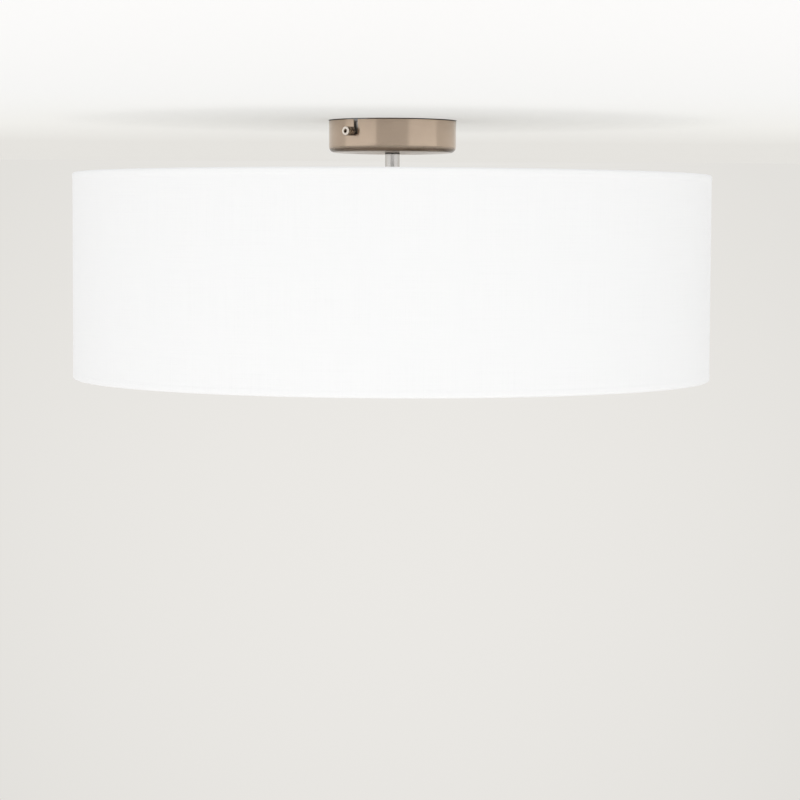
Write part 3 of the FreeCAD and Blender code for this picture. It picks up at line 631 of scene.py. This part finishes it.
def make_seam():
    """The cloth's overlapped end, glued down the side that faces away from the camera."""
    out = SHADE_RADIUS - HEM_STEP
    bm = profile_line([(out, SHADE_TOP - HEM), (out, SHADE_BOTTOM + HEM)])
    bmesh.ops.spin(bm, geom=bm.verts[:] + bm.edges[:], cent=(0.0, 0.0, 0.0), axis=(0.0, 0.0, 1.0),
                   angle=math.radians(LAP_DEGREES), steps=4, use_merge=False, use_duplicate=False)
    bmesh.ops.recalc_face_normals(bm, faces=bm.faces)
    middle = VIEW_AZIMUTH + math.radians(90.0 - LAP_DEGREES / 2)
    bmesh.ops.rotate(bm, cent=(0.0, 0.0, 0.0), verts=bm.verts, matrix=Matrix.Rotation(middle, 3, "Z"))
    seam = finished("shade_seam", bm, "shade_fabric", "canopy", crease=40.0)
    lap = seam.modifiers.new("cloth_thickness", "SOLIDIFY")
    lap.thickness = CLOTH_THICKNESS * MM
    lap.offset = 0.0
    return seam


def make_liner():
    """White plastic sheet behind the cloth."""
    out, tucked = SHADE_RADIUS - LINER_INSET, HEM - 1.0
    bm = profile_line([(out, SHADE_TOP - tucked), (out, SHADE_BOTTOM + tucked)])
    spin_round(bm, 288)
    liner = finished("shade_liner", bm, "shade_liner", "canopy", crease=60.0)
    sheet = liner.modifiers.new("liner_thickness", "SOLIDIFY")
    sheet.thickness = LINER_THICKNESS * MM
    sheet.offset = 0.0


shade_cloth = make_shade()
shade_seam = make_seam()
make_liner()


# ---------------------------------------------------------------- lamps


def lay_on_arm(bm, way, along):
    """Carries a shape made upright onto the sloping line of one arm, so far along from the holder's start."""
    reach, height = HOLDER_START
    lean = Matrix.Rotation((math.pi / 2 + LAMP_TILT) * way, 4, "Y")
    start = Matrix.Translation((reach * way * MM, 0.0, height * MM))
    moved = start @ lean @ Matrix.Translation((0.0, 0.0, along * MM))
    bmesh.ops.transform(bm, matrix=moved, verts=bm.verts)


def add_neck(bm):
    """Hexagonal neck that takes the spanner, with softened ends."""
    length, corner_radius = 8.2, 12.7
    neck = bmesh.new()
    bmesh.ops.create_cone(neck, cap_ends=True, segments=6, radius1=corner_radius * MM,
                          radius2=corner_radius * MM, depth=length * MM)
    foot = [edge for edge in neck.edges if min(vert.co.z for vert in edge.verts) < 0.0]
    bmesh.ops.bevel(neck, geom=foot, offset=0.8 * MM, offset_type="OFFSET", segments=2, profile=0.5,
                    affect="EDGES", material=-1)
    bmesh.ops.translate(neck, vec=(0.0, 0.0, length / 2 * MM), verts=neck.verts)
    bmesh.ops.rotate(neck, cent=(0.0, 0.0, 0.0), matrix=Matrix.Rotation(math.radians(30.0), 3, "Z"),
                     verts=neck.verts)
    part = bpy.data.meshes.new("neck")
    neck.to_mesh(part)
    neck.free()
    bm.from_mesh(part)
    bpy.data.meshes.remove(part)


def make_holder(name, way):
    """Screw lamp holder: hexagonal neck, ribbed cap, smooth skirt with a rolled rim."""
    steps, bore, out, joint = 96, 13.6, HOLDER_RADIUS, 32.0
    bm = profile_line(
        [(0.0, HOLDER_FLOOR), (bore, HOLDER_FLOOR, 0.8), (bore, HOLDER_LENGTH), (out - 1.4, HOLDER_LENGTH),
         (out, HOLDER_LENGTH - 1.4), (out, joint + 1.4), (out - 0.5, joint + 1.0), (out - 0.5, joint + 0.4),
         (out, joint), (out, 14.0), (out - 1.4, 9.4), (15.4, 8.0), (0.0, 8.0)],
    )
    spin_round(bm, steps)
    knurl(bm, steps, out - 0.2, 0.975, cycle=4, grooves=(0, 1), below=joint + 0.2)
    add_neck(bm)
    lay_on_arm(bm, way, 0.0)
    finished(name, bm, "white_holder", "canopy", ["lamp_holders"], crease=32.0)


def make_lamp_glass(name, replaced, body, way):
    """Tubular opal glass with a domed end."""
    out = LAMP_RADIUS
    bm = profile_line([(12.9, 25.0), (13.7, 26.0), (out, 30.0, 2.5), (out, LAMP_LENGTH, 13.5),
                       (0.0, LAMP_LENGTH)])
    spin_round(bm, 96)
    lay_on_arm(bm, way, LAMP_SEAT)
    finished(name, bm, "opal_lamp", body, [replaced], crease=50.0)


def make_lamp_thread(name, body, way):
    """The rolled thread of a lamp's cap, which climbs one pitch in each turn."""
    steps, turns, pitch, low = 48, 5, 3.6, 4.6
    root, flank, crest, valley = 12.1, 12.75, 13.05, 11.95
    wave = []
    for turn in range(turns):
        level = low + turn * pitch
        for step, radius in enumerate((root, flank, crest, flank, root, valley)):
            wave.append((radius, level + step * pitch / 6))
    bm = profile_line(wave + [(root, low + turns * pitch)])
    bmesh.ops.spin(bm, geom=bm.verts[:] + bm.edges[:], cent=(0.0, 0.0, 0.0), axis=(0.0, 0.0, 1.0),
                   dvec=(0.0, 0.0, -pitch * MM / steps), angle=math.tau, steps=steps, use_merge=False,
                   use_duplicate=False)
    bmesh.ops.translate(bm, vec=(0.0, 0.0, pitch / 2 * MM), verts=bm.verts)
    bmesh.ops.remove_doubles(bm, verts=bm.verts, dist=2e-6)
    bmesh.ops.recalc_face_normals(bm, faces=bm.faces)
    lay_on_arm(bm, way, LAMP_SEAT)
    finished(name, bm, "lamp_cap", body, crease=40.0)


def make_lamp_cap(name, body, way):
    """Contact button, dark insulating ring and the plain parts of the cap above and below its thread."""
    core, out = 11.9, 13.05
    ring_inner, ring_outer, ring_top = 4.9, 10.4, 4.0
    bm = profile_line(
        [(0.0, 0.0), (3.6, 0.0, 1.0), (4.6, 1.4), (5.2, 1.5), (10.6, 4.2), (core, 4.6), (core, 22.6),
         (12.8, 22.8), (out, 23.2), (out, 26.2), (12.6, 26.4)],
    )
    spin_round(bm, 64)
    for face in bm.faces:
        centre = face.calc_center_median()
        reach = math.hypot(centre.x, centre.y) / MM
        face.material_index = 1 if centre.z < ring_top * MM and ring_inner < reach < ring_outer else 0
    lay_on_arm(bm, way, LAMP_SEAT)
    finished(name, bm, ["lamp_cap", "dark_collar"], body, crease=35.0)


for side, way in (("right", 1.0), ("left", -1.0)):
    make_holder(f"lamp_holder_{side}", way)
for lamp, replaced, way in (("lamp_right", "bulb_1", 1.0), ("lamp_left", "bulb_2", -1.0)):
    make_lamp_glass(lamp, replaced, lamp, way)
    make_lamp_thread(f"{lamp}_thread", lamp, way)
    make_lamp_cap(f"{lamp}_cap", lamp, way)


# ---------------------------------------------------------------- finial


def make_finial():
    """Turned nickel knob with a knurled waist that holds the diffuser up."""
    steps, out, collar, bore = 72, FINIAL_RADIUS, 6.5, 3.05
    low, high = FINIAL_BOTTOM, FINIAL_TOP
    bm = profile_line(
        [(0.0, low), (6.4, low, 1.2), (out - 0.6, low + 1.2), (out, low + 2.4), (out, low + 8.4),
         (out - 0.6, low + 9.8), (7.0, low + 10.9), (collar, low + 11.2), (collar, high), (bore, high),
         (bore, high - 10.0), (0.0, high - 10.0)],
    )
    spin_round(bm, steps)
    knurl(bm, steps, out - 0.1, 0.965)
    finished("finial", bm, "satin_nickel", "finial", ["finial_knob"], crease=24.0)


make_finial()


# ---------------------------------------------------------------- studio


def in_photo_frame(x, y, z):
    """A point given as seen by the camera: x to its right, y away from it, z up from the ceiling."""
    return Matrix.Rotation(VIEW_AZIMUTH, 4, "Z") @ Vector((x, y, z))


def make_world():
    """Even room light; behind the light stands a pale wall with a painted pool of light straight ahead of the
    camera, and metal shows the dimmer room end opposite.
    """
    world = bpy.data.worlds.new("room")
    bpy.context.scene.world = world
    world.use_nodes = True
    tree = world.node_tree
    tree.nodes.clear()
    path = tree.nodes.new("ShaderNodeLightPath").outputs
    any_view = arithmetic(tree, "MAXIMUM", path["Is Camera Ray"], path["Is Glossy Ray"])
    any_view = arithmetic(tree, "MAXIMUM", any_view, path["Is Transmission Ray"])
    direction = tree.nodes.new("ShaderNodeTexCoord").outputs["Generated"]

    toward_camera = along_way(tree, direction, in_photo_frame(0.0, -1.0, 0.0))
    room_end = ramp_between(tree, toward_camera, 0.85, 0.89, 1.0, 0.27)
    # Painted light: the wall's colour is brighter within a small patch straight ahead of the camera.
    wall = tree.nodes.new("ShaderNodeMix")
    wall.data_type = "RGBA"
    wall.inputs["A"].default_value = (0.767, 0.752, 0.72, 1.0)
    wall.inputs["B"].default_value = (0.83, 0.813, 0.782, 1.0)
    ahead = along_way(tree, direction, in_photo_frame(0.0, 0.9943, -0.1066))
    tree.links.new(ramp_between(tree, ahead, 0.981, 1.0, 0.0, 1.0), wall.inputs["Factor"])
    seen = tree.nodes.new("ShaderNodeBackground")
    tree.links.new(wall.outputs["Result"], seen.inputs["Color"])
    above = ramp_between(tree, along_way(tree, direction, (0.0, 0.0, 1.0)), -0.05, 0.0, 0.0, 1.0)
    dimmed = arithmetic(tree, "MULTIPLY", above, arithmetic(tree, "SUBTRACT", 1.0, room_end))
    dimmed = arithmetic(tree, "MULTIPLY", path["Is Glossy Ray"], dimmed)
    tree.links.new(arithmetic(tree, "SUBTRACT", 1.0, dimmed), seen.inputs["Strength"])

    room = tree.nodes.new("ShaderNodeBackground")
    room.inputs["Color"].default_value = (1.0, 1.0, 1.0, 1.0)
    room.inputs["Strength"].default_value = 0.835
    mix = tree.nodes.new("ShaderNodeMixShader")
    tree.links.new(any_view, mix.inputs["Fac"])
    tree.links.new(room.outputs[0], mix.inputs[1])
    tree.links.new(seen.outputs[0], mix.inputs[2])
    out = tree.nodes.new("ShaderNodeOutputWorld")
    tree.links.new(mix.outputs[0], out.inputs["Surface"])


def stage_plane(name, corners, material):
    """A flat part of the studio, given by its corners as the camera sees them."""
    bm = bmesh.new()
    bm.faces.new([bm.verts.new(in_photo_frame(*corner)) for corner in corners])
    mesh = bpy.data.meshes.new(name)
    bm.to_mesh(mesh)
    bm.free()
    mesh.materials.append(material)
    plane = bpy.data.objects.new(name, mesh)
    bpy.context.scene.collection.objects.link(plane)


def make_floor():
    """Pale floor far below, under the frame of the view."""
    floor = bpy.data.materials.new("pale_floor")
    floor.use_nodes = True
    paint = floor.node_tree.nodes["Principled BSDF"]
    paint.inputs["Base Color"].default_value = (0.84, 0.825, 0.79, 1.0)
    paint.inputs["Roughness"].default_value = 0.8
    side, level = 9, -3.3
    corners = [(-side, -side, level), (side, -side, level), (side, side, level), (-side, side, level)]
    stage_plane("floor", corners, floor)


def make_ceiling():
    """White ceiling: seen from below only, it holds the shadow of the light and lets the room's light by. Its
    glow is painted light, and over the canopy it is painted dark as shade.
    """
    canopy_edge, high, side, near, far = 0.0605, 0.0002, 3, -1.45, 1.41
    ceiling = bpy.data.materials.new("white_ceiling")
    ceiling.use_nodes = True
    tree = ceiling.node_tree
    paint = tree.nodes["Principled BSDF"]
    paint.inputs["Roughness"].default_value = 0.9
    path = tree.nodes.new("ShaderNodeLightPath").outputs
    place = tree.nodes.new("ShaderNodeTexCoord").outputs["Object"]
    reach = tree.nodes.new("ShaderNodeVectorMath")
    reach.operation = "LENGTH"
    tree.links.new(place, reach.inputs[0])
    reach = reach.outputs["Value"]
    beside = arithmetic(tree, "GREATER_THAN", reach, canopy_edge)
    # Painted shade: inside the canopy's edge the ceiling's colour is near black, so the gap at the rim and
    # the slots read dark.
    coat = tree.nodes.new("ShaderNodeValToRGB")
    coat.color_ramp.elements[0].color = (0.07, 0.065, 0.06, 1.0)
    coat.color_ramp.elements[1].color = (0.93, 0.915, 0.87, 1.0)
    tree.links.new(beside, coat.inputs["Fac"])
    tree.links.new(coat.outputs["Color"], paint.inputs["Base Color"])
    seen = arithmetic(tree, "MULTIPLY", path["Is Glossy Ray"], beside)
    seen = arithmetic(tree, "MAXIMUM", path["Is Camera Ray"], seen)

    # Painted light: the glow's tones run from near white close to the camera to a darker grey far away, and
    # less glow is mixed in near the canopy so the shadow there shows.
    tones = tree.nodes.new("ShaderNodeValToRGB")
    for stop, colour in ((0.4, (0.94, 0.94, 0.935)), (0.72, (0.90, 0.892, 0.86))):
        tones.color_ramp.elements.new(stop).color = (*colour, 1.0)
    tones.color_ramp.elements[0].color = (0.985, 0.98, 0.98, 1.0)
    tones.color_ramp.elements[-1].color = (0.795, 0.78, 0.747, 1.0)
    away = along_way(tree, place, in_photo_frame(0.0, 1.0, 0.0))
    tree.links.new(ramp_between(tree, away, -1.2, 0.6, 0.0, 1.0), tones.inputs["Fac"])
    glow = tree.nodes.new("ShaderNodeEmission")
    tree.links.new(tones.outputs["Color"], glow.inputs["Color"])
    mirrored = ramp_between(tree, reach, 0.06, 0.24, 0.4, 0.0)
    mirrored = arithmetic(tree, "MULTIPLY", path["Is Glossy Ray"], mirrored)
    share = arithmetic(tree, "SUBTRACT", ramp_between(tree, reach, 0.06, 0.33, 0.5, 0.84), mirrored)
    share = arithmetic(tree, "MULTIPLY", beside, share)
    lit = tree.nodes.new("ShaderNodeMixShader")
    tree.links.new(share, lit.inputs["Fac"])
    tree.links.new(paint.outputs[0], lit.inputs[1])
    tree.links.new(glow.outputs[0], lit.inputs[2])

    passing = arithmetic(tree, "MULTIPLY", arithmetic(tree, "SUBTRACT", 1.0, seen),
                         ramp_between(tree, reach, 0.24, 0.34, 0.45, 0.95))
    behind = tree.nodes.new("ShaderNodeNewGeometry").outputs["Backfacing"]
    mix = tree.nodes.new("ShaderNodeMixShader")
    tree.links.new(arithmetic(tree, "MAXIMUM", behind, passing), mix.inputs["Fac"])
    tree.links.new(lit.outputs[0], mix.inputs[1])
    tree.links.new(tree.nodes.new("ShaderNodeBsdfTransparent").outputs[0], mix.inputs[2])
    tree.links.new(mix.outputs[0], tree.nodes["Material Output"].inputs["Surface"])
    corners = [(-side, far, high), (side, far, high), (side, near, high), (-side, near, high)]
    stage_plane("ceiling", corners, ceiling)


def soft_box(name, place, aim, size, power):
    """A rectangular lamp that points at a place on the light."""
    data = bpy.data.lights.new(name, "AREA")
    data.shape = "RECTANGLE"
    data.size, data.size_y = size
    data.energy = power
    lamp = bpy.data.objects.new(name, data)
    lamp.location = in_photo_frame(*place)
    lamp.rotation_euler = (in_photo_frame(*aim) - lamp.location).to_track_quat("-Z", "Y").to_euler()
    bpy.context.scene.collection.objects.link(lamp)


make_world()
make_floor()
make_ceiling()
soft_box("left_window", (-2.29, -1.24, -0.52), (0.0, 0.0, -0.05), (3.4, 1.0), 9.0)
soft_box("right_window", (2.18, -1.42, -0.52), (0.0, 0.0, -0.05), (2.9, 1.0), 7.4)
soft_box("low_fill", (0.0, -2.2, -2.1), (0.0, 0.0, -0.15), (1.6, 1.4), 14.0)

bpy.context.scene.view_settings.view_transform = "Standard"
